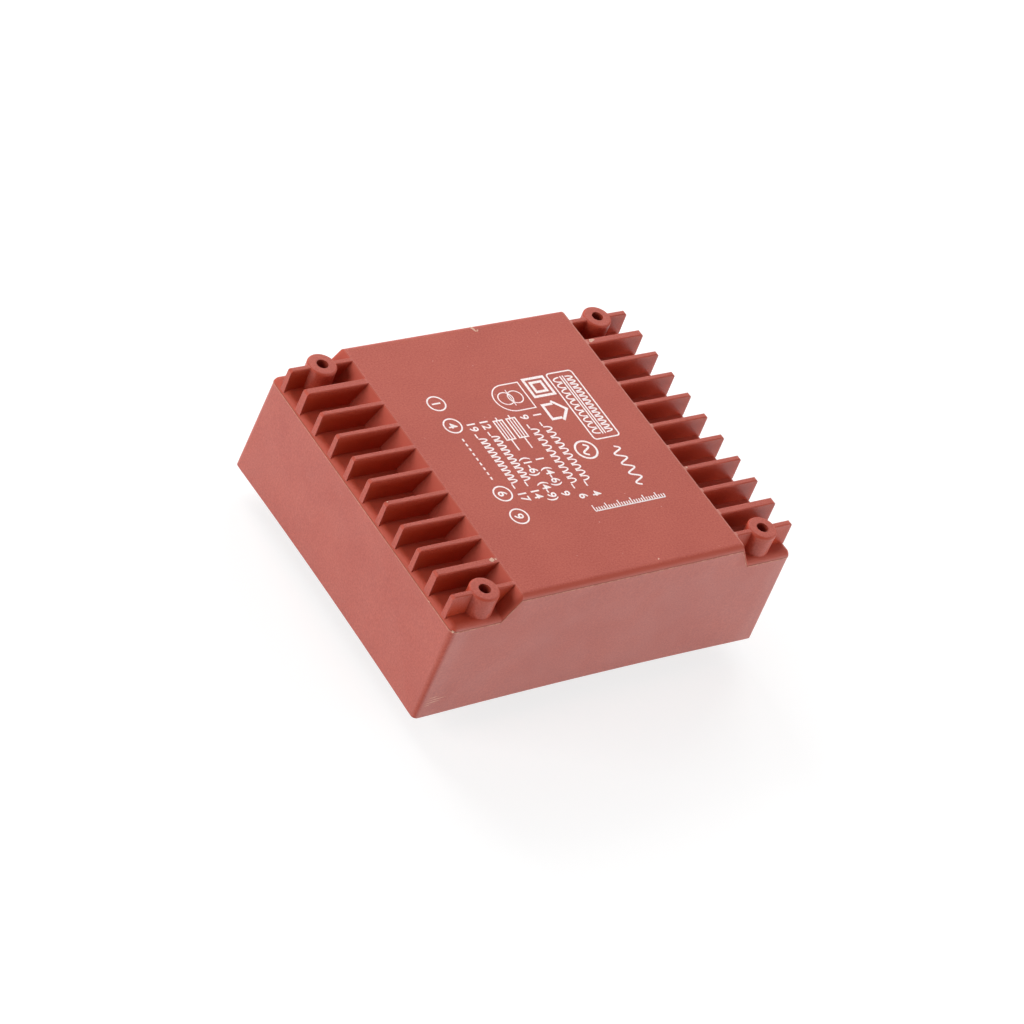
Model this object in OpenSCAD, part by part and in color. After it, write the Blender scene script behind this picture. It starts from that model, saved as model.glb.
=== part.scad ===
// Encapsulated transformer for a printed circuit board, low profile, with two coils on a UI core.
// Frame: X runs along the cooling fins, Y across them, Z up from the open rim of the case.
// The origin is the centre of the rim plane. The pins reach below it, through the board.

/* [Case] */
// Width of the case along Y at its open rim
case_width = 57; // [56.6:0.1:61]
// Height from the rim to the raised top
case_height = 23.7; // [23.6:0.1:26]
// Drop from the raised top to the ledges that the fins stand on
ledge_drop = 4; // [3:0.1:4.4]
// How far the raised top runs past the core window at each end
raised_overrun = 2.4; // [2.2:0.1:3]
// How far each end of the raised top slopes out on its way down to the ledge
slope_run = 2.5; // [2:0.1:3]
// Lean of the walls that lets the case leave its mould, in mm for each mm of height
wall_lean = 0.02; // [0.01:0.005:0.02]
// Thickness of the side walls at the rim
side_wall = 1.5; // [1.3:0.1:1.9]
// Thickness of the end walls at the rim
end_wall = 1.35; // [1.2:0.05:2]
// Thickness of the roof and of the slopes
roof_wall = 1.2; // [0.8:0.1:1.3]
// Rounding along the top edges of the case
edge_round = 1.1; // [0.7:0.1:1.3]
// Rounding of the four upright corners
corner_round = 0.8; // [0.5:0.1:1.5]

/* [Fins] */
// Number of fins along each side
fin_count = 11; // [9:1:12]
// Thickness of a fin at its top
fin_thickness = 0.9; // [0.7:0.05:1.1]
// Thickness of the second fin from each corner, which is stouter
stout_fin_thickness = 1.25; // [1.1:0.05:1.4]
// Rounding of the outer top corner of a fin
fin_nose_round = 0.5; // [0.3:0.1:1]
// Rounding of the long top edges of a fin
fin_edge_round = 0.2; // [0.1:0.05:0.3]

/* [Fixing holes] */
// Distance from a fixing hole to the end of the case along X
fixing_inset_x = 6.5; // [6.2:0.1:6.8]
// Distance from a fixing hole to the side of the case along Y
fixing_inset_y = 3.5; // [3.3:0.1:3.7]
// Diameter of the screw holes
fixing_hole_d = 2; // [1.6:0.1:2.6]
// Outer diameter of the bosses and columns around the screw holes
boss_d = 5; // [4.6:0.1:5.2]
// Rounding of the top edge of a boss
boss_round = 0.4; // [0.2:0.1:0.6]

/* [Core] */
// Width of a limb of the core, which also sets its window
limb_width = 13; // [12.6:0.1:13]
// Height of the stack of laminations
stack_height = 10.2; // [9.6:0.1:10.4]
// Number of laminations in the stack
lamination_count = 20; // [12:1:24]

/* [Coils] */
// Room between a limb and the tube of its bobbin
bobbin_play = 0.15; // [0.1:0.05:0.25]
// Thickness of the bobbin tube
tube_wall = 0.9; // [0.6:0.1:1]
// Thickness of the bobbin flanges
flange_thickness = 1; // [0.8:0.1:1.2]
// Share of the winding length that the primary takes
primary_share = 0.55; // [0.45:0.01:0.6]
// Thickness of the tape around each winding
tape_thickness = 0.15; // [0.1:0.05:0.2]

/* [Pins] */
// Grid that the pins of a row stand on
pin_grid = 2.5; // [2.4:0.05:2.54]
// Distance from a row of pins to the end of the case
pin_inset = 9; // [8.5:0.1:9.5]
// Diameter of a pin
pin_d = 1; // [0.8:0.1:1.1]
// Length of a pin below the rim
pin_reach = 4; // [3:0.1:5]

/* [Resin] */
// Depth of the resin surface inside the rim
resin_recess = 0.8; // [0.4:0.1:0.9]

/* [Hidden] */

$fn = 48;
overshoot = 1;       // how far a cutting shape runs past the face it cuts

// Core, whose length sets the room inside the case along X
window_length = 3 * limb_width;
core_half_x = window_length / 2 + limb_width;
core_play = 0.15;    // room between the core and each end wall
limb_y = limb_width; // centre of each limb

// Half sizes of the case, seen from its centre
room_x = core_half_x + core_play;
half_x = room_x + end_wall;
half_y = case_width / 2;
room_y = half_y - side_wall;
raised_x = window_length / 2 + raised_overrun;

// Fixing holes, and the fins that stand between those of one end
fixing_x = half_x - fixing_inset_x;
fixing_y = half_y - fixing_inset_y;
fin_pitch = 2 * fixing_y / (fin_count - 1);

// Levels, measured up from the rim
ledge_z = case_height - ledge_drop;
room_z = case_height - roof_wall;             // inside face of the roof
ledge_room_z = ledge_z - roof_wall;           // inside face of the ledges
coil_cover = 0.4;                             // least resin over and under a coil
coil_bottom_z = resin_recess + coil_cover;
core_mid_z = (room_z - coil_cover / 4 + coil_bottom_z) / 2;
core_bottom_z = core_mid_z - stack_height / 2;

// Bobbin and windings, as half sizes across the limb.
// The wire fills the flanges, which fill half the window and the height of the room.
play_y = limb_width / 2 + bobbin_play;
play_z = stack_height / 2 + bobbin_play;
tube_y = play_y + tube_wall;
tube_z = play_z + tube_wall;
flange_rim = 0.15;                            // how far a flange stands above the tape
flange_y = min(limb_y, room_y - limb_y) - coil_cover;
flange_z = core_mid_z - coil_bottom_z;
taped_y = flange_y - flange_rim;
taped_z = flange_z - flange_rim;
wound_y = taped_y - tape_thickness;
wound_z = taped_z - tape_thickness;

// Lengths along the limb
bobbin_half_x = window_length / 2 - bobbin_play;
chamber_total = 2 * bobbin_half_x - 3 * flange_thickness;
primary_chamber = chamber_total * primary_share;
secondary_chamber = chamber_total - primary_chamber;
primary_start_x = -bobbin_half_x + flange_thickness;
secondary_start_x = primary_start_x + primary_chamber + flange_thickness;
turn_round = 1.5;                             // corner radius of the innermost turn

// Rail at each end of a bobbin, between resin and yoke, which holds two pins
pin_x = half_x - pin_inset;
yoke_gap = 2;                                 // room for wires between rail and yoke
rail_bottom_z = coil_bottom_z + coil_cover;
rail_top_z = core_bottom_z - yoke_gap;
rail_margin = 1.8;                            // how far a rail runs past its outer pins
rail_end_x = pin_x + rail_margin;
rail_inner_y = 2 * pin_grid - rail_margin;
rail_outer_y = 8 * pin_grid + rail_margin;
lead_r = 0.2;
lead_z = rail_top_z + 2 * lead_r;
pin_top_z = rail_top_z + yoke_gap / 2;
shank_side = pin_d + 0.15;                    // square shank of a pin inside its rail
joint_r = 0.45;                               // thickness of the solder around a shank

// Each pin as [number, side along X, grid steps along Y]
primary_pins = [[1, -1, 8], [4, -1, 2], [6, -1, -2], [9, -1, -8]];
secondary_pins = [[12, 1, -7], [14, 1, -3], [17, 1, 3], [19, 1, 7]];

// The walls draw in between their corners as the resin cures, most at the rim.
// The hollow runs out a little below the rounded edges of the ledges.
wall_hollow = (ledge_z - edge_round - 1) * wall_lean;

// Where the outer face of an end wall or side wall lies at height z, from its half size at the rim
function leaning(half, z) = half - z * wall_lean;

// Plain helpers ------------------------------------------------------------------

module at_fixings() {
    for (x = [-1, 1], y = [-1, 1])
        translate([x * fixing_x, y * fixing_y, 0])
            children();
}

module box(x0, x1, y0, y1, z0, z1) {
    translate([x0, y0, z0])
        cube([x1 - x0, y1 - y0, z1 - z0]);
}

// Rectangle about the origin with round corners
module round_rectangle(half_w, half_h, round_r) {
    square([2 * half_w, 2 * (half_h - round_r)], center = true);
    square([2 * (half_w - round_r), 2 * half_h], center = true);
    for (w = [-1, 1], h = [-1, 1])
        translate([w * (half_w - round_r), h * (half_h - round_r)])
            circle(r = round_r);
}

// Plate across the X axis, from x to x + depth, with round corners
module plate_across_x(x, depth, half_w, half_h, round_r) {
    translate([x, 0, 0])
        rotate([90, 0, 90])
            linear_extrude(height = depth)
                round_rectangle(half_w, half_h, round_r);
}

// Case ---------------------------------------------------------------------------

// Ball whose poles and sides lie on its true radius, for a hull's round corners
module corner_ball(r) {
    rotate_extrude($fn = 32)
        intersection() {
            circle(r = r, $fn = 32);
            translate([0, -r])
                square([r, 2 * r]);
        }
}

// Lower block of the case, up to the ledges, with leaning walls and rounded top edges
module ledge_block() {
    ball_z = ledge_z - edge_round;
    hull()
        for (x = [-1, 1], y = [-1, 1]) {
            translate([x * (half_x - corner_round), y * (half_y - corner_round), 0])
                cylinder(r = corner_round, h = 0.01, $fn = 32);
            translate([x * (leaning(half_x, ball_z) - edge_round),
                       y * (leaning(half_y, ball_z) - edge_round), ball_z])
                corner_ball(edge_round);
        }
}

// Raised block over the coils: its front and back edges are rounded, its ends slope down
module raised_block() {
    edge_z = case_height - edge_round;
    depth = ledge_drop + 0.2;
    steepness = slope_run / ledge_drop;
    hull()
        for (x = [-1, 1], y = [-1, 1], down = [0, depth])
            translate([x * (raised_x + down * steepness),
                       y * (leaning(half_y, edge_z - down) - edge_round), edge_z - down])
                rotate([0, x * -90, 0])
                    cylinder(r = edge_round, h = 1, $fn = 32);
}

// Shallow hollow in the side wall at +Y: upright, so that it fades out up the leaning wall
module side_hollow(half_width, half_length) {
    reach = half_length - 2;
    steps = 6;
    arc = [for (i = [-steps : steps])
        [reach * i / steps, half_width - wall_hollow * (1 - pow(i / steps, 2))]];
    translate([0, 0, -overshoot])
        linear_extrude(height = ledge_z)
            polygon(concat(arc, [[reach, half_width + overshoot], [-reach, half_width + overshoot]]));
}

// Hollows in all four walls
module wall_hollows() {
    for (turn = [0, 180])
        rotate([0, 0, turn]) {
            side_hollow(half_y, half_x);
            rotate([0, 0, 90])
                side_hollow(half_x, half_y);
        }
}

// Outline of the space inside the case, seen along Y
module room_outline() {
    steepness = slope_run / ledge_drop;
    inside_x = raised_x - 0.4 * roof_wall;
    foot_x = inside_x + (room_z - ledge_room_z) * steepness;
    polygon([
        [-room_x, -overshoot], [room_x, -overshoot], [room_x, ledge_room_z], [foot_x, ledge_room_z],
        [inside_x, room_z], [-inside_x, room_z], [-foot_x, ledge_room_z], [-room_x, ledge_room_z],
    ]);
}

// Space inside the case, open at the rim
module room() {
    rotate([90, 0, 0])
        linear_extrude(height = 2 * room_y, center = true)
            room_outline();
}

// One fin seen along X: a thin wall that is thicker at its foot, with soft top edges
module fin_section(thickness) {
    foot = ledge_drop * wall_lean + thickness / 2;
    side = thickness / 2 - fin_edge_round;
    polygon([[-foot, -0.5], [foot, -0.5], [foot, 0], [thickness / 2, ledge_drop - fin_edge_round],
             [-thickness / 2, ledge_drop - fin_edge_round], [-foot, 0]]);
    translate([-side, 0])
        square([2 * side, ledge_drop]);
    for (s = [-1, 1])
        translate([s * side, ledge_drop - fin_edge_round])
            circle(r = fin_edge_round, $fn = 24);
}

// Outline that the fins of one side end in, seen along Y, with a round nose
module fin_outline() {
    nose_z = case_height - fin_nose_round;
    nose_x = leaning(half_x, nose_z) - fin_nose_round;
    polygon([[raised_x - 1, ledge_z - 1], [leaning(half_x, ledge_z - 1), ledge_z - 1],
             [leaning(half_x, nose_z), nose_z], [nose_x, nose_z], [nose_x, case_height],
             [raised_x - 1, case_height]]);
    translate([nose_x, nose_z])
        circle(r = fin_nose_round, $fn = 48);
}

// The row of fins on the +X side
module fin_row() {
    intersection() {
        rotate([90, 0, 0])
            linear_extrude(height = case_width, center = true)
                fin_outline();
        for (i = [0 : fin_count - 1]) {
            stout = i == 1 || i == fin_count - 2;
            translate([0, (i - (fin_count - 1) / 2) * fin_pitch, ledge_z])
                rotate([90, 0, 90])
                    linear_extrude(height = half_x)
                        fin_section(stout ? stout_fin_thickness : fin_thickness);
        }
    }
}

// Boss above the ledge and column below it, with a round top edge
module boss() {
    top_z = case_height + 0.1;
    edge = [for (turn = [0 : 22.5 : 90])
        [boss_d / 2 - boss_round * (1 - cos(turn)), top_z - boss_round * (1 - sin(turn))]];
    rotate_extrude()
        polygon(concat([[0, 0], [boss_d / 2, 0]], edge, [[0, top_z]]));
}

module case() {
    color("#b8675a")
        difference() {
            union() {
                difference() {
                    union() {
                        difference() {
                            ledge_block();
                            wall_hollows();
                        }
                        raised_block();
                        fin_row();
                        mirror([1, 0, 0])
                            fin_row();
                    }
                    room();
                }
                at_fixings()
                    boss();
            }
            at_fixings()
                translate([0, 0, -overshoot])
                    cylinder(d = fixing_hole_d, h = case_height + 3 * overshoot);
        }
}

// Core ---------------------------------------------------------------------------

// U of the core seen from above, open towards +X
module u_outline() {
    difference() {
        translate([-core_half_x, -limb_width * 1.5])
            square([core_half_x + window_length / 2, limb_width * 3]);
        translate([-window_length / 2, -limb_width / 2])
            square([window_length + overshoot, limb_width]);
    }
}

// I of the core, which closes the ends of the U
module i_outline() {
    translate([window_length / 2, -limb_width * 1.5])
        square([limb_width, limb_width * 3]);
}

// Stack of sheets with the thin varnish gaps between them
module lamination_stack() {
    pitch = stack_height / lamination_count;
    varnish = 0.02;
    for (i = [0 : lamination_count - 1])
        translate([0, 0, core_bottom_z + i * pitch])
            linear_extrude(height = pitch - varnish)
                children();
}

module core_u_laminations() {
    color("#8d9093")
        lamination_stack()
            u_outline();
}

module core_i_laminations() {
    color("#a2a5a8")
        lamination_stack()
            i_outline();
}

// Coils --------------------------------------------------------------------------

// Puts a coil's parts on its limb: side is 1 for coil a at +Y, -1 for coil b at -Y
module on_limb(side) {
    translate([0, side * limb_y, core_mid_z])
        children();
}

// Rail along Y under a yoke that carries the pins of one end of a bobbin
module pin_rail(side, end) {
    x_near = bobbin_half_x - flange_thickness;
    y_near = side > 0 ? rail_inner_y : -rail_outer_y;
    y_far = side > 0 ? rail_outer_y : -rail_inner_y;
    if (end > 0)
        box(x_near, rail_end_x, y_near, y_far, rail_bottom_z, rail_top_z);
    else
        box(-rail_end_x, -x_near, y_near, y_far, rail_bottom_z, rail_top_z);
}

// Former with three flanges, and a rail with two pins at each end
module bobbin(side) {
    difference() {
        union() {
            on_limb(side) {
                plate_across_x(-bobbin_half_x, 2 * bobbin_half_x, tube_y, tube_z, turn_round);
                for (x = [-bobbin_half_x, secondary_start_x - flange_thickness,
                          bobbin_half_x - flange_thickness])
                    plate_across_x(x, flange_thickness, flange_y, flange_z, turn_round);
            }
            for (end = [-1, 1])
                pin_rail(side, end);
        }
        on_limb(side)
            cube([window_length + 2, 2 * play_y, 2 * play_z], center = true);
        for (pin = concat(primary_pins, secondary_pins))
            if (pin[2] * side > 0) {
                pin_body(pin);
                lead_wire(pin);
            }
    }
}

module bobbin_a() {
    color("#d9d4c4")
        bobbin(1);
}

module bobbin_b() {
    color("#d9d4c4")
        bobbin(-1);
}

// Closed ring of wound wire or tape around the limb
module ring_on_limb(side, start_x, length, inner_y, inner_z, outer_y, outer_z) {
    on_limb(side)
        difference() {
            plate_across_x(start_x, length, outer_y, outer_z, turn_round + outer_y - tube_y);
            plate_across_x(start_x - overshoot, length + 2 * overshoot, inner_y, inner_z,
                           turn_round + inner_y - tube_y);
        }
}

module winding(side, start_x, length) {
    ring_on_limb(side, start_x, length, tube_y, tube_z, wound_y, wound_z);
}

module tape(side, start_x, length) {
    ring_on_limb(side, start_x, length, wound_y, wound_z, taped_y, taped_z);
}

module primary_winding_a() {
    color("#b5622d")
        winding(1, primary_start_x, primary_chamber);
}

module primary_winding_b() {
    color("#b5622d")
        winding(-1, primary_start_x, primary_chamber);
}

module secondary_winding_a() {
    color("#c8783a")
        winding(1, secondary_start_x, secondary_chamber);
}

module secondary_winding_b() {
    color("#c8783a")
        winding(-1, secondary_start_x, secondary_chamber);
}

module primary_tape_a() {
    color("#e0c24a")
        tape(1, primary_start_x, primary_chamber);
}

module primary_tape_b() {
    color("#e0c24a")
        tape(-1, primary_start_x, primary_chamber);
}

module secondary_tape_a() {
    color("#e6cf6d")
        tape(1, secondary_start_x, secondary_chamber);
}

module secondary_tape_b() {
    color("#e6cf6d")
        tape(-1, secondary_start_x, secondary_chamber);
}

// Pins and leads -----------------------------------------------------------------

module at_pin(pin) {
    translate([pin[1] * pin_x, pin[2] * pin_grid, 0])
        children();
}

// Pin with a round tail and tapered tip below, and a square shank set in its rail
module pin_body(pin) {
    tip = 0.5;
    at_pin(pin) {
        rotate_extrude()
            polygon([[0, -pin_reach], [pin_d / 4, -pin_reach], [pin_d / 2, -pin_reach + tip],
                     [pin_d / 2, resin_recess], [0, resin_recess]]);
        translate([-shank_side / 2, -shank_side / 2, resin_recess])
            cube([shank_side, shank_side, pin_top_z - resin_recess]);
    }
}

// Straight run of wire from the winding through the flange to the pin
module lead_wire(pin) {
    run = pin_x - bobbin_half_x + flange_thickness;
    at_pin(pin)
        translate([0, 0, lead_z])
            rotate([0, pin[1] * -90, 0])
                cylinder(r = lead_r, h = run, $fn = 24);
}

// Wire and the solder that holds it to its pin
module lead(pin) {
    difference() {
        union() {
            lead_wire(pin);
            at_pin(pin)
                translate([0, 0, rail_top_z])
                    cylinder(r1 = shank_side * 0.7 + joint_r, r2 = shank_side * 0.7 + joint_r / 3,
                             h = pin_top_z - rail_top_z);
        }
        pin_body(pin);
    }
}

module pin_number(number) {
    color("#c9cdd0")
        for (pin = concat(primary_pins, secondary_pins))
            if (pin[0] == number)
                pin_body(pin);
}

module pin_1() { pin_number(1); }
module pin_4() { pin_number(4); }
module pin_6() { pin_number(6); }
module pin_9() { pin_number(9); }
module pin_12() { pin_number(12); }
module pin_14() { pin_number(14); }
module pin_17() { pin_number(17); }
module pin_19() { pin_number(19); }

// The two leads of one winding
module leads_of(pins, side) {
    color("#d8894a")
        for (pin = pins)
            if (pin[2] * side > 0)
                lead(pin);
}

module primary_leads_a() { leads_of(primary_pins, 1); }
module primary_leads_b() { leads_of(primary_pins, -1); }
module secondary_leads_a() { leads_of(secondary_pins, 1); }
module secondary_leads_b() { leads_of(secondary_pins, -1); }

// Potting ------------------------------------------------------------------------

// Resin that fills the case around everything it holds
module potting() {
    color("#7c6f66")
        difference() {
            room();
            box(-2 * half_x, 2 * half_x, -case_width, case_width, -2 * overshoot, resin_recess);
            at_fixings()
                translate([0, 0, -overshoot])
                    cylinder(d = boss_d, h = case_height + overshoot);
            translate([0, 0, core_bottom_z])
                linear_extrude(height = stack_height) {
                    u_outline();
                    i_outline();
                }
            for (side = [-1, 1]) {
                on_limb(side) {
                    plate_across_x(-bobbin_half_x, 2 * bobbin_half_x, taped_y, taped_z,
                                   turn_round + taped_y - tube_y);
                    for (x = [-bobbin_half_x, secondary_start_x - flange_thickness,
                              bobbin_half_x - flange_thickness])
                        plate_across_x(x, flange_thickness, flange_y, flange_z, turn_round);
                }
                for (end = [-1, 1])
                    pin_rail(side, end);
            }
            for (pin = concat(primary_pins, secondary_pins)) {
                pin_body(pin);
                lead(pin);
            }
        }
}

case();
potting();
core_u_laminations();
core_i_laminations();
bobbin_a();
bobbin_b();
primary_winding_a();
primary_winding_b();
secondary_winding_a();
secondary_winding_b();
primary_tape_a();
primary_tape_b();
secondary_tape_a();
secondary_tape_b();
pin_1();
pin_4();
pin_6();
pin_9();
pin_12();
pin_14();
pin_17();
pin_19();
primary_leads_a();
primary_leads_b();
secondary_leads_a();
secondary_leads_b();
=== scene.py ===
import math
import random

import bmesh
import bpy
from mathutils import Matrix, Vector


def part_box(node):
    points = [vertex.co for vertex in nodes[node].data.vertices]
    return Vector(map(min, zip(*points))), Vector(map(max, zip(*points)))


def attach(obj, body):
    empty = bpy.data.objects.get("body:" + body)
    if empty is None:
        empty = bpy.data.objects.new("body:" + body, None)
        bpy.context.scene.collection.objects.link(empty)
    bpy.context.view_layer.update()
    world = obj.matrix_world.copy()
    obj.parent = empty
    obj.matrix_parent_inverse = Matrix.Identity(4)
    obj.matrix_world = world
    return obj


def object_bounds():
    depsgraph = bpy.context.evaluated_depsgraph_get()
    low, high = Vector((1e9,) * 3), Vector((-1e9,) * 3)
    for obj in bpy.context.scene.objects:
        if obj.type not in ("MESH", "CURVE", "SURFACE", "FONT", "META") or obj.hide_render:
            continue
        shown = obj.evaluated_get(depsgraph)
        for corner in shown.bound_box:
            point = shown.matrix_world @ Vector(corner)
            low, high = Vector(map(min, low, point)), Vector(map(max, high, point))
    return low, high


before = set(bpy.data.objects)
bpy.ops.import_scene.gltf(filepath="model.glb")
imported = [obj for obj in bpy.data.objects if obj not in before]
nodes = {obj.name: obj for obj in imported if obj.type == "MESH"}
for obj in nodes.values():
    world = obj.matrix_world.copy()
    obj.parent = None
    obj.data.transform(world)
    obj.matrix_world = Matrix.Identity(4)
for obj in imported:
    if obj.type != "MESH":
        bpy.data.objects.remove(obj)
cad_low, cad_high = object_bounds()

MM = 0.001
case_low, case_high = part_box("case")


# Measures of the case, in metres
HOLE_X, HOLE_Y = 27.5 * MM, 25 * MM   # places of the screw holes
HOLE_RADIUS = 1.0 * MM
BOSS_RADIUS = 2.5 * MM
RAISED_HALF = 21.9 * MM               # where the raised top breaks off into its slopes
SLOPE_RUN = 2.5 * MM
LEDGE_DROP = 4 * MM
TOP_ROUND = 1.1 * MM                  # rounding along the top edges of the case
WALL_LEAN = 0.02                      # how far a wall leans in for each unit of height


def flat_top_height():
    """Height of the flat top that the print lies on: the highest points between the two rows of fins."""
    between_rows = RAISED_HALF + TOP_ROUND
    return max(v.co.z for v in nodes["case"].data.vertices if abs(v.co.x) < between_rows)


top_z = flat_top_height()
line_high = top_z - TOP_ROUND         # the moulding line along the raised top
line_low = line_high - LEDGE_DROP     # and along the ledges


def new_object(name, data):
    """An object that is linked into the scene."""
    made = bpy.data.objects.new(name, data)
    bpy.context.scene.collection.objects.link(made)
    return made


# ---------------------------------------------------------------- camera

camera_data = bpy.data.cameras.new("camera")
camera_data.sensor_width = 36
camera_data.lens = 136.47
camera_data.clip_start = 0.01
camera = new_object("camera", camera_data)
bpy.context.scene.camera = camera

camera_place = Vector((-361.626, -313.461, 405.417)) * MM
view_right = Vector((0.79655945, -0.51241437, 0.32081857)).normalized()
view_forward = Vector((0.58158392, 0.50458356, -0.63808743)).normalized()
view_up = view_right.cross(view_forward).normalized()
camera.matrix_world = Matrix.Translation(camera_place) @ Matrix(
    (view_right, view_up, -view_forward)).transposed().to_4x4()


# ---------------------------------------------------------------- colour and material helpers

def colour(hex_code):
    """An sRGB hex code as linear red, green, blue and alpha."""
    parts = [int(hex_code[i:i + 2], 16) / 255 for i in (1, 3, 5)]
    return [c / 12.92 if c <= 0.04045 else ((c + 0.055) / 1.055) ** 2.4 for c in parts] + [1.0]


def add(tree, kind, settings):
    """Adds a node: each setting is a property, an input's value, or a socket that is linked to an input."""
    made = tree.nodes.new("ShaderNode" + kind)
    for name, value in settings.items():
        if isinstance(name, str) and not isinstance(value, bpy.types.NodeSocket) and hasattr(made, name):
            setattr(made, name, value)
        elif isinstance(value, bpy.types.NodeSocket):
            tree.links.new(value, made.inputs[name])
        else:
            made.inputs[name].default_value = value
    return made


def start_material(name, **shader):
    """A new material with its node tree, its main shader and the place on the object in metres."""
    material = bpy.data.materials.new(name)
    material.use_nodes = True
    tree = material.node_tree
    main = tree.nodes["Principled BSDF"]
    for socket, value in shader.items():
        main.inputs[socket.replace("_", " ")].default_value = value
    place = add(tree, "TexCoord", {}).outputs["Object"]
    return material, tree, main, place


def feed(tree, main, **sockets):
    """Links sockets to inputs of the main shader, such as Base_Color."""
    for name, socket in sockets.items():
        tree.links.new(socket, main.inputs[name.replace("_", " ")])


def per_mm(spacing):
    """Noise scale for a pattern whose features lie this many millimetres apart."""
    return 1 / (spacing * MM)


def noise(tree, place, spacing, **settings):
    """Cloudy pattern from 0 to 1 whose features lie this many millimetres apart."""
    return add(tree, "TexNoise", {"Vector": place, "Scale": per_mm(spacing), **settings}).outputs["Fac"]


def stretched_noise(tree, place, spacings, **settings):
    """Cloudy pattern from 0 to 1 with its own spacing along X, Y and Z, in millimetres."""
    drawn_out = add(tree, "Mapping", {"Vector": place, "Scale": tuple(per_mm(s) for s in spacings)})
    return add(tree, "TexNoise", {"Vector": drawn_out.outputs[0], "Scale": 1.0, **settings}).outputs["Fac"]


def maths(tree, operation, *values):
    """The result of one operation on numbers or sockets."""
    return add(tree, "Math", {"operation": operation} | dict(enumerate(values))).outputs[0]


def ramp(tree, value, start, end, low=0.0, high=1.0):
    """Goes from low at start to high at end, and stays level beyond both."""
    return add(tree, "MapRange", {"Value": value, "From Min": start, "From Max": end,
                                  "To Min": low, "To Max": high}).outputs[0]


def fall(tree, value, start, end):
    """A mask that is full up to start and gone from end on."""
    return ramp(tree, value, start, end, 1.0, 0.0)


def all_of(tree, first, *others):
    """The product of masks: it holds only where all of them hold."""
    for other in others:
        first = maths(tree, "MULTIPLY", first, other)
    return first


def blend(tree, factor, first, second):
    """The first colour, turning into the second as the factor grows; each is a hex code or a socket."""
    first, second = (colour(c) if isinstance(c, str) else c for c in (first, second))
    return add(tree, "Mix", {"data_type": "RGBA", "Factor": factor, 6: first, 7: second}).outputs[2]


def bump(tree, height, strength, depth, over=None):
    """A relief from a pattern, this many millimetres deep, over another relief where one is given."""
    settings = {"Height": height, "Strength": strength, "Distance": depth * MM}
    if over is not None:
        settings["Normal"] = over
    return add(tree, "Bump", settings).outputs[0]


# ---------------------------------------------------------------- materials

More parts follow.
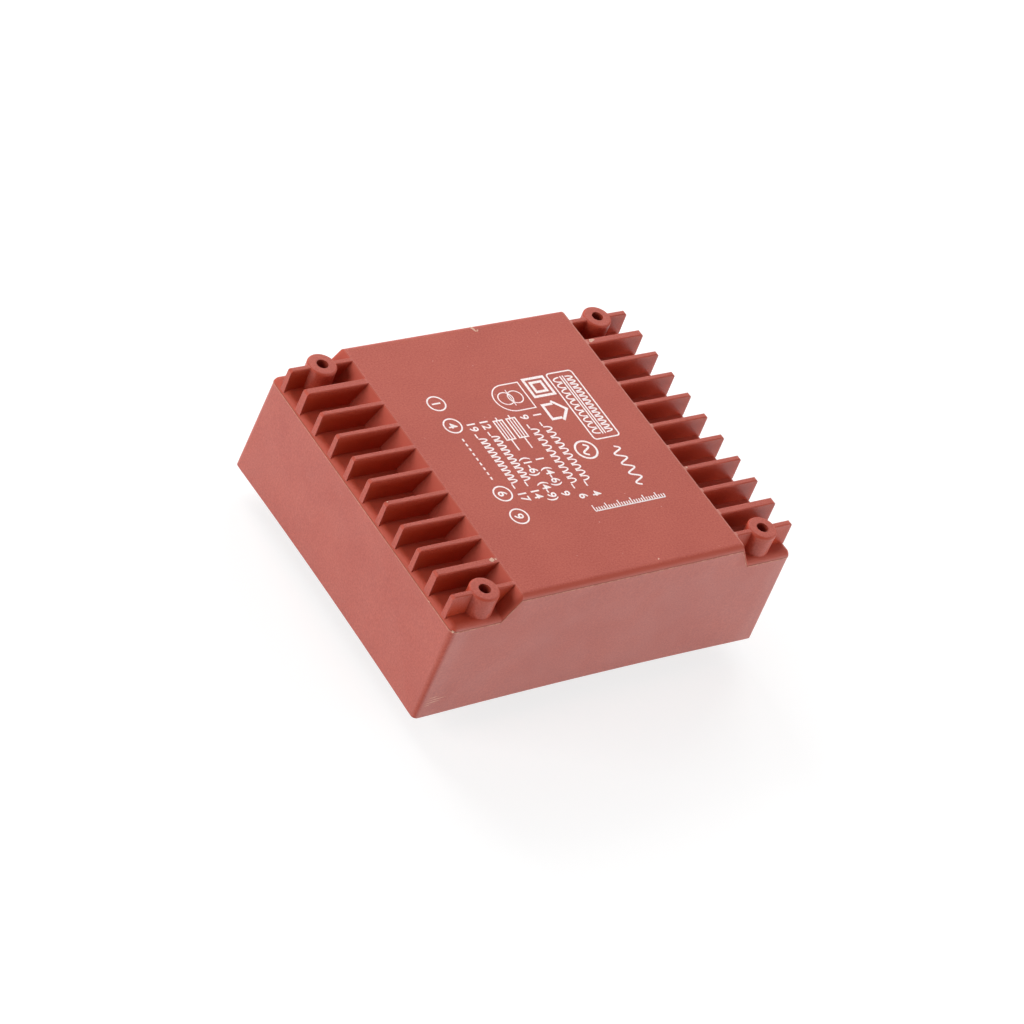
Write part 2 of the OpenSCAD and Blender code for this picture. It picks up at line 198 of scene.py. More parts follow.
def moulded_case_plastic():
    """Glass-filled polyester (PBT), injection moulded.

    The tool was spark-eroded over the top, fins and slopes, which gives the eye a fine dull grain.
    The flat side walls were only ground: they are smoother, and a faint pale grey is painted into their
    colour as a sheen, for the bright room that they reflect. Between the fins and on the roundings of the
    edges a fuller red is painted in as shade. The edges where the top breaks off carry a painted highlight,
    and the screw holes are painted dark as shade.
    """
    material, tree, main, place = start_material("moulded_case_plastic", IOR=1.55)
    # Flow of the filled melt: very weak clouds about 9 mm across
    clouds = noise(tree, place, 9, Detail=3.0, Roughness=0.55)
    # Glass and pigment specks: really about 0.05 mm, drawn at 0.3 mm so that they show
    specks = noise(tree, place, 0.3, Detail=2.0, Roughness=0.7)
    both = maths(tree, "MULTIPLY_ADD", clouds, 0.2, maths(tree, "MULTIPLY", specks, 0.6))
    melt = blend(tree, ramp(tree, both, 0.25, 0.55), "#9C3320", "#B6503C")

    # Places on the case: off the middle either way, and off the axis of the nearest screw hole
    spot = add(tree, "SeparateXYZ", {"Vector": place}).outputs
    along = maths(tree, "ABSOLUTE", spot["X"])
    across = maths(tree, "ABSOLUTE", spot["Y"])
    to_hole = add(tree, "CombineXYZ", {"X": maths(tree, "SUBTRACT", along, HOLE_X),
                                       "Y": maths(tree, "SUBTRACT", across, HOLE_Y)}).outputs[0]
    from_axis = add(tree, "VectorMath", {"operation": "LENGTH", 0: to_hole}).outputs["Value"]
    # Directions that the surface faces
    facing = add(tree, "SeparateXYZ", {"Vector": add(tree, "NewGeometry", {}).outputs["True Normal"]}).outputs
    level = maths(tree, "ABSOLUTE", facing["Z"])

    # Painted shade: between the fins and round the bosses a deeper, more saturated red stands in for the dim
    # red light that bounces between the fins
    painted_valley_shade = all_of(tree,
                    ramp(tree, along, RAISED_HALF - 0.5 * MM, RAISED_HALF + 0.3 * MM),
                    fall(tree, along, case_high.x - 0.95 * MM, case_high.x - 0.75 * MM),
                    fall(tree, spot["Z"], top_z - 1.5 * MM, top_z - 0.2 * MM),
                    ramp(tree, spot["Z"], top_z - LEDGE_DROP - 0.6 * MM, top_z - LEDGE_DROP - 0.2 * MM),
                    ramp(tree, from_axis, BOSS_RADIUS + 0.02 * MM, BOSS_RADIUS + 0.1 * MM))
    # The roundings of the top edges, whose faces are neither level nor upright, get the same painted shade
    painted_rounding_shade = all_of(tree, fall(tree, level, 0.85, 0.95), ramp(tree, level, 0.05, 0.2))
    red_with_painted_shade = blend(tree, maths(tree, "MAXIMUM", painted_valley_shade, painted_rounding_shade), melt, "#A8381C")

    # A painted highlight: the edges where the top breaks off into the slopes are painted pale, most at the +X
    # end
    painted_edge_highlight = all_of(tree,
                    ramp(tree, along, RAISED_HALF - 0.3 * MM, RAISED_HALF - 0.05 * MM),
                    ramp(tree, spot["Z"], top_z - 0.25 * MM, top_z - 0.1 * MM),
                    fall(tree, along, RAISED_HALF + 0.2 * MM, RAISED_HALF + 0.4 * MM),
                    ramp(tree, spot["X"], -20 * MM, 20 * MM, 0.06, 0.3))
    painted_highlight = blend(tree, painted_edge_highlight, red_with_painted_shade, "#DDA898")
    # Painted shade: the screw holes are painted dark
    painted_hole_shade = ramp(tree, from_axis, HOLE_RADIUS, HOLE_RADIUS + 0.06 * MM, 0.2, 0.0)
    with_painted_hole_shade = blend(tree, painted_hole_shade, painted_highlight, "#2A0B05")

    # Flat side walls, which face straight out along X or Y and lie close to the outside of the case
    end_wall, long_wall = (
        all_of(tree,
               ramp(tree, maths(tree, "ABSOLUTE", facing[axis]), 0.8, 0.99),
               ramp(tree, maths(tree, "ABSOLUTE", spot[axis]), half - 0.8 * MM, half - 0.7 * MM))
        for axis, half in (("X", case_high.x), ("Y", case_high.y)))
    below_fins = ramp(tree, spot["Z"], line_low, line_low + 0.1 * MM, 0.5, 0.0)
    # On the long walls the painted sheen is strongest in the last few millimetres towards the ends
    at_corner = ramp(tree, along, case_high.x - 4.5 * MM, case_high.x - 2.5 * MM, 1.0, 1.45)
    wall = maths(tree, "MAXIMUM", all_of(tree, end_wall, below_fins), all_of(tree, long_wall, at_corner))
    # Painted sheen: a pale grey mixed into the colour of the walls stands in for the bright room reflected in
    # them
    streaks = noise(tree, place, 5, Detail=4.0, Distortion=0.4)
    painted_sheen = all_of(tree, wall, ramp(tree, streaks, 0.3, 0.7, 0.055, 0.08))
    skin = blend(tree, painted_sheen, with_painted_hole_shade, "#F4ECEC")

    # Pale filler specks of 0.15 mm, a few on each square centimetre of the level faces
    cells = add(tree, "TexVoronoi", {"Vector": place, "Scale": per_mm(1.6)}).outputs
    pick = add(tree, "SeparateColor", {"Color": cells["Color"]}).outputs["Red"]
    speck = all_of(tree, fall(tree, cells["Distance"], 0.045, 0.075), ramp(tree, pick, 0.84, 0.88, 0.0, 0.5),
                   ramp(tree, level, 0.9, 0.95, 0.15, 1.0))

    # Spark-eroded grain: really about 0.08 mm, drawn at 0.35 mm so that it shows. The walls have little of it
    grain = noise(tree, place, 0.35, Detail=3.0, Roughness=0.7)
    relief = bump(tree, grain, ramp(tree, wall, 0.0, 1.0, 0.9, 0.2), 0.05)
    # Slow waves of the moulded skin over the shrinking resin, about 12 mm apart
    swell = bump(tree, noise(tree, place, 12, Detail=1.0), 0.2, 0.1, over=relief)
    feed(tree, main, Base_Color=blend(tree, speck, skin, "#DDB5A6"), Normal=swell,
         Roughness=ramp(tree, level, 0.08, 0.4, 0.36, 0.66))
    return material


def printing_ink():
    """Pad-printing ink: an opaque dull white film, thin where the grain below stands up."""
    material, tree, main, place = start_material("printing_ink", IOR=1.5, Roughness=0.6)
    cover = noise(tree, place, 0.25, Detail=2.0)
    feed(tree, main, Base_Color=blend(tree, ramp(tree, cover, 0.35, 0.5), "#F0D4D0", "#FBF3F3"),
         Normal=bump(tree, cover, 0.2, 0.02))
    return material


def bruised_plastic():
    """Stress-whitened case plastic: where an edge was knocked, the torn skin turns pale and dull."""
    material, tree, main, place = start_material("bruised_plastic", IOR=1.55, Roughness=0.75)
    torn = noise(tree, place, 0.4, Detail=4.0)
    feed(tree, main, Base_Color=blend(tree, torn, "#C08670", "#E6C3AC"), Normal=bump(tree, torn, 0.6, 0.08))
    return material


def moulding_line_painted_highlight():
    """Painted highlight on the moulding line's edge: pale dashes a millimetre apart, few at the -X end."""
    material, tree, main, place = start_material("moulding_line_painted_highlight", IOR=1.55, Roughness=0.6)
    dashes = noise(tree, place, 0.9, Detail=3.0, Roughness=0.7)
    x = add(tree, "SeparateXYZ", {"Vector": place}).outputs["X"]
    highlight_strength = ramp(tree, x, case_low.x + 0.4 * MM, case_low.x + 0.8 * MM, 0.4, 1.0)
    # Painted highlight: pale dashes where the ridge's edge catches the light, weaker at the -X end
    painted_highlight = all_of(tree, ramp(tree, dashes, 0.42, 0.62), highlight_strength)
    feed(tree, main, Base_Color=blend(tree, painted_highlight, "#B56B58", "#D0947F"), Normal=bump(tree, dashes, 0.3, 0.03))
    return material


def moulding_line_painted_shadow():
    """Painted shadow above the moulding line: a dull brown strip, broken into patches."""
    material, tree, main, place = start_material("moulding_line_painted_shadow", IOR=1.4, Roughness=0.9)
    patches = noise(tree, place, 1.2, Detail=3.0, Roughness=0.7)
    feed(tree, main, Base_Color=blend(tree, patches, "#75402F", "#A45847"),
         Normal=bump(tree, patches, 0.4, 0.02))
    return material


def cast_resin():
    """Filled epoxy, poured in and cured: a calm face with low shine, faint clouds and small craters."""
    material, tree, main, place = start_material("cast_resin", IOR=1.52, Roughness=0.4)
    clouds = noise(tree, place, 7, Detail=4.0, Distortion=0.6)
    # Burst air bubbles, 0.4 mm wide and about 4 mm apart
    bubbles = add(tree, "TexVoronoi", {"Vector": place, "Scale": per_mm(4)}).outputs["Distance"]
    ripple = bump(tree, clouds, 0.5, 0.3)
    feed(tree, main, Base_Color=blend(tree, clouds, "#7A3C30", "#8C4A3C"),
         Normal=bump(tree, ramp(tree, bubbles, 0.03, 0.08), 0.7, 0.15, over=ripple))
    return material


def varnished_steel_sheet():
    """Rolled silicon steel with an insulating varnish: grey, satin, streaked along the rolling direction."""
    material, tree, main, place = start_material("varnished_steel_sheet", Metallic=0.85)
    streaks = stretched_noise(tree, place, (8, 0.5, 0.5), Detail=4.0)
    feed(tree, main, Base_Color=blend(tree, streaks, "#6E7073", "#8D9092"),
         Roughness=ramp(tree, streaks, 0.0, 1.0, 0.35, 0.5), Normal=bump(tree, streaks, 0.3, 0.02))
    return material


def moulded_nylon():
    """Natural glass-filled nylon, moulded: a cream colour with faint clouding and a soft shine."""
    material, tree, main, place = start_material("moulded_nylon", IOR=1.53, Roughness=0.5,
                                                 Subsurface_Weight=0.05)
    fibres = noise(tree, place, 1.5, Detail=5.0, Distortion=1.0)
    feed(tree, main, Base_Color=blend(tree, fibres, "#D3CBB8", "#E4DECF"),
         Normal=bump(tree, fibres, 0.25, 0.03))
    return material


def turns_of_wire(tree, place, spacing):
    """A wave from -1 to 1 along X, one for each turn, this many millimetres apart."""
    x = add(tree, "SeparateXYZ", {"Vector": place}).outputs["X"]
    return maths(tree, "SINE", maths(tree, "MULTIPLY", x, 2 * math.pi * per_mm(spacing)))


def enamelled_copper():
    """Copper wire with a clear enamel, close wound: turns of 0.35 mm, each with a painted highlight on its
    crest and painted shade between it and the next.
    """
    material, tree, main, place = start_material("enamelled_copper", Metallic=0.9, Roughness=0.28,
                                                 Coat_Weight=0.5, Coat_Roughness=0.15)
    # Painted highlight and shade: the colour runs from dark between the turns to bright on their crests
    ribs = ramp(tree, turns_of_wire(tree, place, 0.35), -1.0, 1.0)
    feed(tree, main, Base_Color=blend(tree, ribs, "#7E3A16", "#C4703A"), Normal=bump(tree, ribs, 0.8, 0.15))
    return material


def polyester_film_tape():
    """Thin yellow polyester film, wrapped tight: glossy, with the wire's ribs showing faintly through."""
    material, tree, main, place = start_material("polyester_film_tape", IOR=1.6, Coat_Weight=0.3)
    creases = noise(tree, place, 3, Detail=4.0, Distortion=0.8)
    ribs = bump(tree, turns_of_wire(tree, place, 0.7), 0.2, 0.03)
    feed(tree, main, Base_Color=blend(tree, creases, "#D9B63A", "#E8CC5C"),
         Roughness=ramp(tree, creases, 0.0, 1.0, 0.18, 0.34),
         Normal=bump(tree, creases, 0.4, 0.08, over=ribs))
    return material


def tinned_metal(name, pale, dark, roughness):
    """Hot-tinned copper alloy: a soft silvery shine that pools where the tin ran down and froze."""
    material, tree, main, place = start_material(name, Metallic=1.0)
    pools = stretched_noise(tree, place, (0.6, 0.6, 2.4), Detail=3.0)
    feed(tree, main, Base_Color=blend(tree, pools, dark, pale),
         Roughness=ramp(tree, pools, 0.0, 1.0, roughness - 0.06, roughness + 0.08),
         Normal=bump(tree, pools, 0.25, 0.04))
    return material


finishes = {
    "case_plastic": moulded_case_plastic(),
    "potting_resin": cast_resin(),
    "core_steel": varnished_steel_sheet(),
    "bobbin_plastic": moulded_nylon(),
    "enamelled_wire": enamelled_copper(),
    "polyester_tape": polyester_film_tape(),
    "tinned_pin": tinned_metal("tinned_pin_metal", "#D9DADC", "#B4B6B9", 0.28),
    "lead_wire": tinned_metal("solder_and_lead_metal", "#C9CBCE", "#A3A5A9", 0.36),
}
ink = printing_ink()
bruise = bruised_plastic()

# Which finish each piece takes, from a word in its name
slot_of = {"case": "case_plastic", "potting": "potting_resin"}
for name in nodes:
    for word, slot in (("laminations", "core_steel"), ("bobbin", "bobbin_plastic"),
                       ("winding", "enamelled_wire"), ("tape", "polyester_tape"), ("pin_", "tinned_pin"),
                       ("leads", "lead_wire")):
        if word in name:
            slot_of[name] = slot
for name, piece in nodes.items():
    piece.data.materials.clear()
    piece.data.materials.append(finishes[slot_of[name]])


# ---------------------------------------------------------------- print on the flat top

INK_FILM = 0.015 * MM
PRINT_OFF_MIDDLE = (0.23, -0.04)    # how far the printing pad sat off the middle of the case, in mm
LINE = 0.26                         # width of the usual printed line, in mm
HEAVY_LINE = 0.5                    # and of the bold signs
FOOT_GAP = 0.01                     # half the gap between the feet of two loops, in mm
RING_POINTS = 48
DIGIT_SHARE = 0.73                  # height of a digit as a share of the font's size
DIGIT_SWELL = 0.04 * MM             # how far the ink spreads past the outline of a digit


def on_top(across, up):
    """A place on the flat top in millimetres as the print is read: across runs to -Y, up to +X."""
    return Vector(((up + PRINT_OFF_MIDDLE[1]) * MM, -(across + PRINT_OFF_MIDDLE[0]) * MM, top_z))


def print_stroke(target, points, width, closed=False):
    """A line of ink of even width through points given as (across, up) in millimetres."""
    line = [Vector(p) for p in points]
    rows = []
    for i, here in enumerate(line):
        before = line[i - 1] if i or closed else here
        after = line[(i + 1) % len(line)] if i + 1 < len(line) or closed else here
        into = (here - before).normalized() if (here - before).length else (after - here).normalized()
        out = (after - here).normalized() if (after - here).length else into
        bisector = (into + out).normalized()
        side = Vector((-bisector.y, bisector.x)) * (width / 2 / max(0.5, bisector.dot(into)))
        section = ((here + side, INK_FILM), (here - side, INK_FILM), (here - side, 0), (here + side, 0))
        rows.append([target.verts.new(on_top(p.x, p.y) + Vector((0, 0, z))) for p, z in section])
    for i in range(len(rows) if closed else len(rows) - 1):
        first, second = rows[i], rows[(i + 1) % len(rows)]
        for k in range(4):
            target.faces.new((first[k], second[k], second[(k + 1) % 4], first[(k + 1) % 4]))
    if not closed:
        target.faces.new(rows[0])
        target.faces.new(rows[-1][::-1])


def arc(across, up, radius, start, end, steps=24):
    """Points along an arc, with angles in degrees."""
    turn = [math.radians(start + (end - start) * i / steps) for i in range(steps + 1)]
    return [(across + radius * math.cos(a), up + radius * math.sin(a)) for a in turn]


def wave(left, length, middle, height, waves, steps):
    """Points along a sine wave that starts at (left, middle)."""
    return [(left + length * i / steps, middle + height * math.sin(2 * math.pi * waves * i / steps))
            for i in range(steps + 1)]


def print_ring(target, across, up, radius, width):
    """A ring of ink round (across, up)."""
    last = 360 - 360 / RING_POINTS
    print_stroke(target, arc(across, up, radius, 0, last, RING_POINTS - 1), width, closed=True)


def rounded_frame(left, right, bottom, top, radius):
    """Points round a frame with rounded corners."""
    points = []
    for across, up, start in ((right - radius, top - radius, 90), (right - radius, bottom + radius, 0),
                              (left + radius, bottom + radius, -90), (left + radius, top - radius, 180)):
        points += arc(across, up, radius, start, start - 90, 6)
    return points


def print_coil(target, left, right, base, loops, height, width):
    """A winding symbol: a row of narrow half loops whose feet stand side by side on a base line."""
    half = (right - left) / loops / 2
    reach = half - width / 2 - FOOT_GAP
    for i in range(loops):
        middle = left + half * (2 * i + 1)
        loop = [(middle + reach * x, base + height * y) for x, y in arc(0, 0, 1, 180, 0, 12)]
        print_stroke(target, loop, width)


def print_digits(target, text, across, up, height):
    """Plain numbers, read along the print, with their middle at (across, up) in millimetres."""
    curve = bpy.data.curves.new("digits", "FONT")
    curve.body = text
    curve.align_x = "CENTER"
    curve.size = height / DIGIT_SHARE * MM
    curve.extrude = INK_FILM / 2
    curve.offset = DIGIT_SWELL
    curve.resolution_u = 5
    letters = new_object("digits", curve)
    bpy.context.view_layer.update()
    mesh = bpy.data.meshes.new_from_object(letters.evaluated_get(bpy.context.evaluated_depsgraph_get()))
    corner = on_top(across, up - height / 2)
    # Turned so that the line of digits runs to -Y, as the print is read
    mesh.transform(Matrix(((0, 1, 0, corner.x), (-1, 0, 0, corner.y), (0, 0, 1, corner.z + INK_FILM / 2),
                           (0, 0, 0, 1))))
    target.from_mesh(mesh)
    bpy.data.objects.remove(letters)
    bpy.data.curves.remove(curve)
    bpy.data.meshes.remove(mesh)


def finish_piece(target, name, material):
    """Turns a built mesh into a piece of the case."""
    bmesh.ops.remove_doubles(target, verts=target.verts, dist=1e-7)
    bmesh.ops.recalc_face_normals(target, faces=target.faces)
    mesh = bpy.data.meshes.new(name)
    target.to_mesh(mesh)
    target.free()
    mesh.materials.append(material)
    piece = new_object(name, mesh)
    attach(piece, "root")


# Numbers of the pins on this side, each in a ring
pin_numbers = bmesh.new()
number_row = -12.95
for number, across in (("1", -12.97), ("4", -7.86), ("6", 7.47), ("9", 12.5)):
    print_ring(pin_numbers, across, number_row, 1.55, 0.27)
    print_digits(pin_numbers, number, across, number_row, 1.65)
# Dashed link between the inner two
for i in range(9):
    print_stroke(pin_numbers, [(-4.9 + i * 1.08, number_row), (-4.3 + i * 1.08, number_row)], 0.3)
finish_piece(pin_numbers, "printed_pin_numbers", ink)

# One line for each winding: pin number, lead, coil, lead, pin number
winding_lines = bmesh.new()
for first, last, right, middle in (("1", "4", 11.9, 3.15), ("9", "6", 11.9, 0.6),
                                   ("12", "14", 9.6, -7.15), ("19", "17", 9.6, -9.65)):
    print_digits(winding_lines, first, -6.9, middle, 1.6)
    print_digits(winding_lines, last, right - 0.8, middle, 1.6)
    foot = middle - 0.6
    print_stroke(winding_lines, [(-5.3, foot), (-4.4, foot)], LINE)
    print_coil(winding_lines, -4.3, right - 3.7, foot, 10, 1.35, LINE)
    print_stroke(winding_lines, [(right - 3.6, foot), (right - 2.6, foot)], LINE)
finish_piece(winding_lines, "printed_winding_lines", ink)

# A fuse symbol for the series and the parallel connection, and the pins that each one joins
fuse_lines = bmesh.new()
for middle, pins in ((-2.07, "1  (4-6)  9"), (-4.6, "(1-6)  (4-9)")):
    print_stroke(fuse_lines, [(-7.2, middle + 0.85), (-2.9, middle + 0.85), (-2.9, middle - 0.85),
                              (-7.2, middle - 0.85)], LINE, closed=True)
    for step in (-0.28, 0.28):
        print_stroke(fuse_lines, [(-7.1, middle + step), (-3.0, middle + step)], 0.2)
    print_stroke(fuse_lines, [(-7.9, middle), (-7.3, middle)], LINE)
    print_stroke(fuse_lines, [(-2.8, middle), (-0.4, middle)], LINE)
    print_digits(fuse_lines, pins, 6.0, middle - 0.1, 1.6)
finish_piece(fuse_lines, "printed_fuse_lines", ink)

# Plain frame that holds a coupled pair of coils beside their core lines
coil_panel = bmesh.new()
print_stroke(coil_panel, rounded_frame(-14.9, 0.42, 9.95, 15.08, 0.6), LINE, closed=True)
print_coil(coil_panel, -13.9, -0.6, 13.15, 14, 1.25, LINE)
for core_line in (12.25, 12.75):
    print_stroke(coil_panel, [(-14.0, core_line), (-0.5, core_line)], 0.24)
print_coil(coil_panel, -13.9, -0.6, 11.85, 10, -1.25, LINE)
finish_piece(coil_panel, "printed_coil_panel", ink)

# Plain technical signs: closed shield with two linked rings, double square, house, wave in a ring
signs = bmesh.new()
shield = [(-14.35, 3.9), (-8.45, 3.9)] + arc(-11.4, 0.5, 2.95, 0, -180)
print_stroke(signs, shield, 0.22, closed=True)
print_ring(signs, -11.4, 1.65, 1.35, 0.2)
print_ring(signs, -11.4, -0.25, 1.35, 0.2)
print_stroke(signs, [(-13.2, 0.7), (-9.6, 0.7)], 0.16)
for half in (2.0, 1.05):
    corners = [(-12.6 + half * x, 7.1 + half * y) for x, y in ((-1, -1), (1, -1), (1, 1), (-1, 1))]
    print_stroke(signs, corners, HEAVY_LINE, closed=True)
print_stroke(signs, [(-9.2, 7.2), (-7.0, 9.1), (-4.8, 7.2)], HEAVY_LINE)
print_stroke(signs, [(-8.6, 7.2), (-8.6, 5.25), (-5.4, 5.25), (-5.4, 7.2)], HEAVY_LINE)
print_ring(signs, 2.1, 7.05, 1.9, 0.36)
print_stroke(signs, wave(0.95, 2.3, 7.05, 0.75, 1, 24), 0.36)
finish_piece(signs, "printed_signs", ink)

# Wave of the supply, and a ruler of the 2.5 mm pin grid along the edge
wave_and_ruler = bmesh.new()
print_stroke(wave_and_ruler, wave(2.5, 8.7, 12.35, 0.9, 4, 90), 0.32)
ruler_line = 14.6
print_stroke(wave_and_ruler, [(ruler_line, 0.65), (ruler_line, 14.7)], 0.22)
for i in range(29):
    tick = 1.3 if i % 5 == 0 else 0.75
    print_stroke(wave_and_ruler, [(ruler_line - tick, 0.7 + i * 0.5), (ruler_line, 0.7 + i * 0.5)], 0.2)
finish_piece(wave_and_ruler, "printed_wave_and_ruler", ink)


# ---------------------------------------------------------------- moulding line, its painted highlight and shadow, nicks and scratches

def wall_at(half, height):
    """How far out a leaning wall lies at a height."""
    return half - height * WALL_LEAN


def moulding_line_path():
    """Points and outward directions round the case where the top rounding meets the walls."""
    path = []
    for turn in range(4):
        quarter = Matrix.Rotation(turn * math.pi / 2, 3, "Z")
        long_side = turn % 2 == 0
        half_here, half_next = ((case_high.y, case_high.x) if long_side else (case_high.x, case_high.y))
        end = wall_at(half_next, line_low) - TOP_ROUND
        places = [(-end, line_low)]
        if long_side:
            foot = RAISED_HALF + SLOPE_RUN
            places += [(-foot, line_low), (-RAISED_HALF, line_high),
                       (RAISED_HALF, line_high), (foot, line_low)]
        places.append((end, line_low))
        for along, height in places:
            path.append((quarter @ Vector((along, -wall_at(half_here, height), height)),
                         quarter @ Vector((0, -1, 0))))
        centre = Vector((end, -(wall_at(half_here, line_low) - TOP_ROUND), line_low))
        for step in range(1, 6):
            out = Matrix.Rotation(step * math.pi / 12, 3, "Z") @ Vector((0, -1, 0))
            path.append((quarter @ (centre + out * TOP_ROUND), quarter @ out))
    return path


def rib(target, path, width, height, sunk):
    """A low closed ridge along a path, with a blunt top."""
    rows = []
    for i, (here, out) in enumerate(path):
        into = (here - path[i - 1][0]).normalized()
        onward = (path[(i + 1) % len(path)][0] - here).normalized()
        across = (into + onward).normalized().cross(out).normalized()
        rows.append([target.verts.new(here + across * (width * a) + out * (height * b - sunk * (1 - b)))
                     for a, b in ((-0.5, 0), (-0.15, 1), (0.15, 1), (0.5, 0))])
    for i in range(len(rows)):
        first, second = rows[i], rows[(i + 1) % len(rows)]
        for k in range(4):
            target.faces.new((first[k], second[k], second[(k + 1) % 4], first[(k + 1) % 4]))


moulding_line = bmesh.new()
rib(moulding_line, moulding_line_path(), 0.2 * MM, 0.05 * MM, 0.02 * MM)
finish_piece(moulding_line, "moulding_line", moulding_line_painted_highlight())

# A painted shadow: a thin dark strip just above the line, where the step casts its shade
painted_shadow_strip = bmesh.new()
rib(painted_shadow_strip, [(place + Vector((0, 0, 0.17 * MM)), out) for place, out in moulding_line_path()],
    0.14 * MM, 0.012 * MM, 0.02 * MM)
finish_piece(painted_shadow_strip, "painted_shadow_over_moulding_line", moulding_line_painted_shadow())


def chip(target, place, size, turn, seed):
    """A torn crumb of plastic standing in a nick, from a lumpy ball flattened to size (x, y, z) in mm."""
    shape = random.Random(seed)
    made = bmesh.ops.create_icosphere(target, subdivisions=2, radius=0.5)["verts"]
    frame_of_chip = (Matrix.Translation(Vector(place) * MM) @ Matrix.Rotation(turn, 4, "Z")
                     @ Matrix.Diagonal((*(Vector(size) * MM), 1)))
    for v in made:
        v.co = frame_of_chip @ (v.co * shape.uniform(0.72, 1.15))


nicks = bmesh.new()
flat_top = top_z / MM
for number, (place, size, turn) in enumerate((
        ((3.2, 26.9, flat_top - 0.04), (0.5, 1.4, 0.2), 0.3),
        ((3.75, 26.5, flat_top - 0.03), (0.35, 0.8, 0.16), -0.7),
        ((5.2, -26.55, flat_top - 0.04), (0.5, 0.25, 0.16), 0.6),
        ((23.0, 20.1, flat_top - 0.05), (1.3, 0.8, 0.22), 0.1),
        ((-22.9, -19.85, flat_top - 0.05), (1.0, 0.85, 0.24), 0.5),
        ((-22.15, -19.9, flat_top - 0.04), (0.45, 0.4, 0.16), 0.0),
        ((22.4, -9.9, flat_top - 0.04), (0.5, 0.35, 0.16), 0.0),
        ((-33.1, -4.75, flat_top - 0.2), (0.45, 0.4, 0.6), 0.0),
        ((-33.45, -4.9, flat_top - 1.3), (0.2, 0.3, 1.2), 0.0),
        ((-33.3, -27.85, 18.8), (0.5, 0.45, 0.35), 0.8),
        ((-32.5, -28.08, 18.65), (0.5, 0.2, 0.2), 0.1),
        ((-33.55, -21.3, 18.7), (0.24, 0.7, 0.3), 0.0))):
    chip(nicks, place, size, turn, number)
finish_piece(nicks, "edge_nicks", bruise)


def scratch(target, start, end, width):
    """A fine burr of torn skin across the front wall, between two (x, z) places in mm, fading at its ends."""
    first, last = (Vector((x * MM, -wall_at(case_high.y, z * MM), z * MM)) for x, z in (start, end))
    side = (last - first).normalized().cross(Vector((0, -1, 0))) * (width / 2 * MM)
    middle = (first + last) / 2
    corners = [target.verts.new(p) for p in (first, middle + side, last, middle - side)]
    ridge = target.verts.new(middle + Vector((0, -0.02 * MM, 0)))
    root = target.verts.new(middle + Vector((0, 0.05 * MM, 0)))
    for k in range(4):
        target.faces.new((corners[k], corners[(k + 1) % 4], ridge))
        target.faces.new((corners[(k + 1) % 4], corners[k], root))


scratches = bmesh.new()
for start, end, width in (((-33.2, 3.0), (-29.9, 3.3), 0.2), ((-33.1, 3.6), (-28.9, 3.8), 0.18),
                          ((-32.9, 4.1), (-30.6, 4.3), 0.16), ((-33.0, 2.5), (-31.6, 2.7), 0.14)):
    scratch(scratches, start, end, width)
finish_piece(scratches, "front_wall_scratches", bruise)


# ---------------------------------------------------------------- room, light and floor

def soft_lamp(name, place, aim, width, watts):
    """A square softbox, given in millimetres."""
    lamp = bpy.data.lights.new(name, "AREA")
    lamp.shape = "SQUARE"
    lamp.size = width * MM
    lamp.energy = watts
    holder = new_object(name, lamp)
    holder.location = Vector(place) * MM
    holder.rotation_euler = ((Vector(aim) - Vector(place)) * MM).to_track_quat("-Z", "Y").to_euler()


soft_lamp("key_softbox", (-595, 120, 215), (0, 0, 10), 280, 2.3)
soft_lamp("back_left_softbox", (-60, 600, 440), (0, 0, 10), 360, 2.6)
soft_lamp("back_right_softbox", (420, 430, 450), (0, 0, 10), 360, 1.7)
soft_lamp("front_softbox", (130, -640, 40), (0, 0, 0), 300, 1.5)
soft_lamp("right_softbox", (560, -330, 90), (0, 0, 10), 320, 1.7)


def seen_directly(tree):
    """Full for rays that come from the camera or from a mirror-like reflection."""
    rays = add(tree, "LightPath", {}).outputs
    return maths(tree, "MAXIMUM", rays["Is Camera Ray"], rays["Is Glossy Ray"])


world = bpy.data.worlds.new("studio")
bpy.context.scene.world = world
world.use_nodes = True
sky = world.node_tree
sky.nodes.clear()
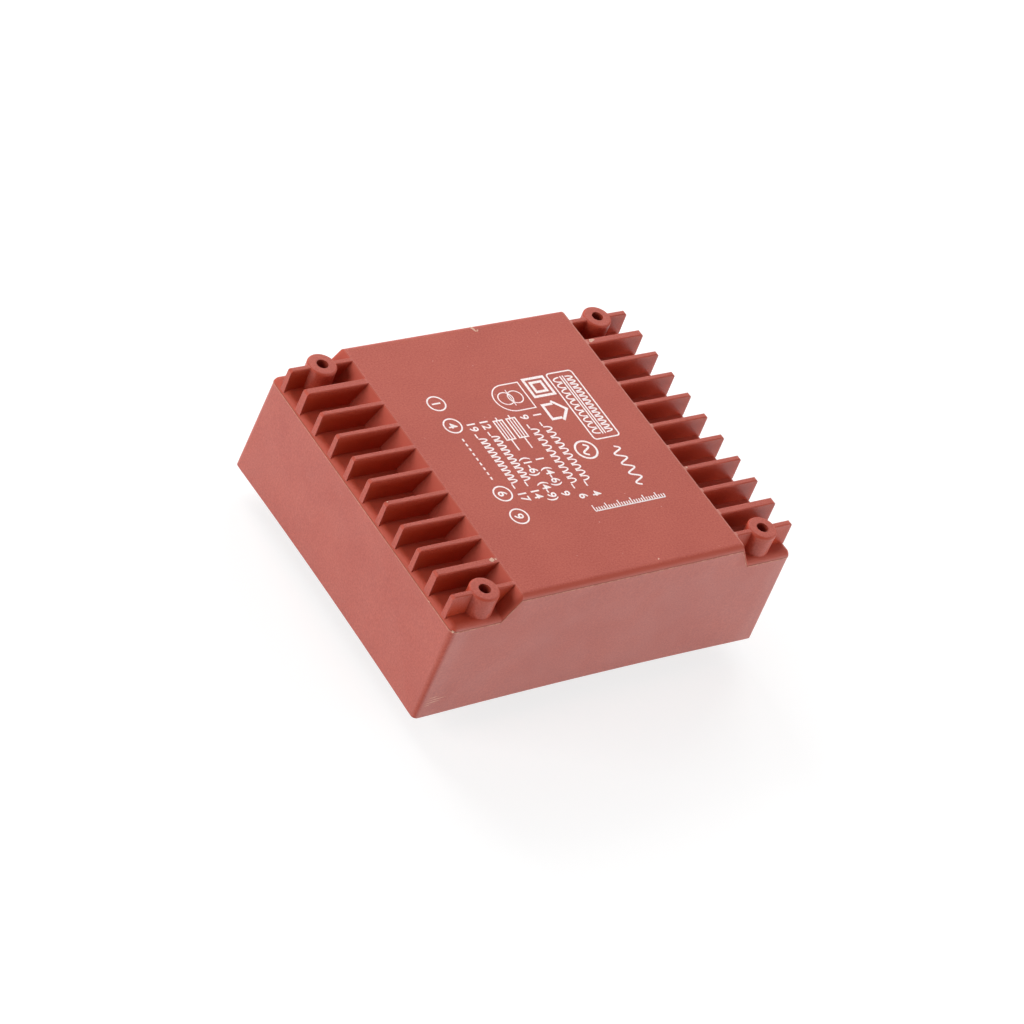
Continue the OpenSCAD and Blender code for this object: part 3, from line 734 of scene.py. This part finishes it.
# A light tent: bright cloth walls, and a darker opening overhead
towards = add(sky, "TexCoord", {}).outputs["Generated"]
up = add(sky, "SeparateXYZ", {"Vector": towards}).outputs["Z"]
tent = ramp(sky, up, 0.05, 0.7, 1.05, 0.3)
# The front left of the tent stays open and dark
opening = add(sky, "VectorMath", {"operation": "DOT_PRODUCT", 0: towards, 1: (-0.6, -0.6, 0.5)})
shade = ramp(sky, opening.outputs["Value"], 0.3, 0.9, 1.0, 0.15)
room_light = add(sky, "Background", {"Color": (1, 1, 1, 1), "Strength": all_of(sky, tent, shade)}).outputs[0]
white_room = add(sky, "Background", {"Color": (1, 1, 1, 1), "Strength": 1.0}).outputs[0]
mixed = add(sky, "MixShader", {0: seen_directly(sky), 1: room_light, 2: white_room}).outputs[0]
add(sky, "OutputWorld", {"Surface": mixed})

FLOOR_HALF = 4.0                    # half the width of the floor, in metres
floor_z = cad_low.z - 0.01 * MM
floor_mesh = bpy.data.meshes.new("floor")
corners = [(x * FLOOR_HALF, y * FLOOR_HALF, floor_z) for x, y in ((-1, -1), (1, -1), (1, 1), (-1, 1))]
floor_mesh.from_pydata(corners, [], [(0, 1, 2, 3)])
floor = new_object("floor", floor_mesh)

# White paper: it lights the case as paper does, and is itself seen almost without shadow
paper = bpy.data.materials.new("white_paper")
paper.use_nodes = True
sheet = paper.node_tree
sheet.nodes.clear()
lit = add(sheet, "BsdfDiffuse", {"Color": (0.86, 0.86, 0.86, 1)}).outputs[0]
shaded = add(sheet, "BsdfDiffuse", {"Color": (0.34, 0.34, 0.34, 1)}).outputs[0]
glow = add(sheet, "Emission", {"Color": (1, 1, 1, 1), "Strength": 0.75}).outputs[0]
pale = add(sheet, "AddShader", {0: shaded, 1: glow}).outputs[0]
paper_mix = add(sheet, "MixShader", {0: seen_directly(sheet), 1: lit, 2: pale}).outputs[0]
add(sheet, "OutputMaterial", {"Surface": paper_mix})
floor_mesh.materials.append(paper)

bpy.context.scene.view_settings.view_transform = "Standard"
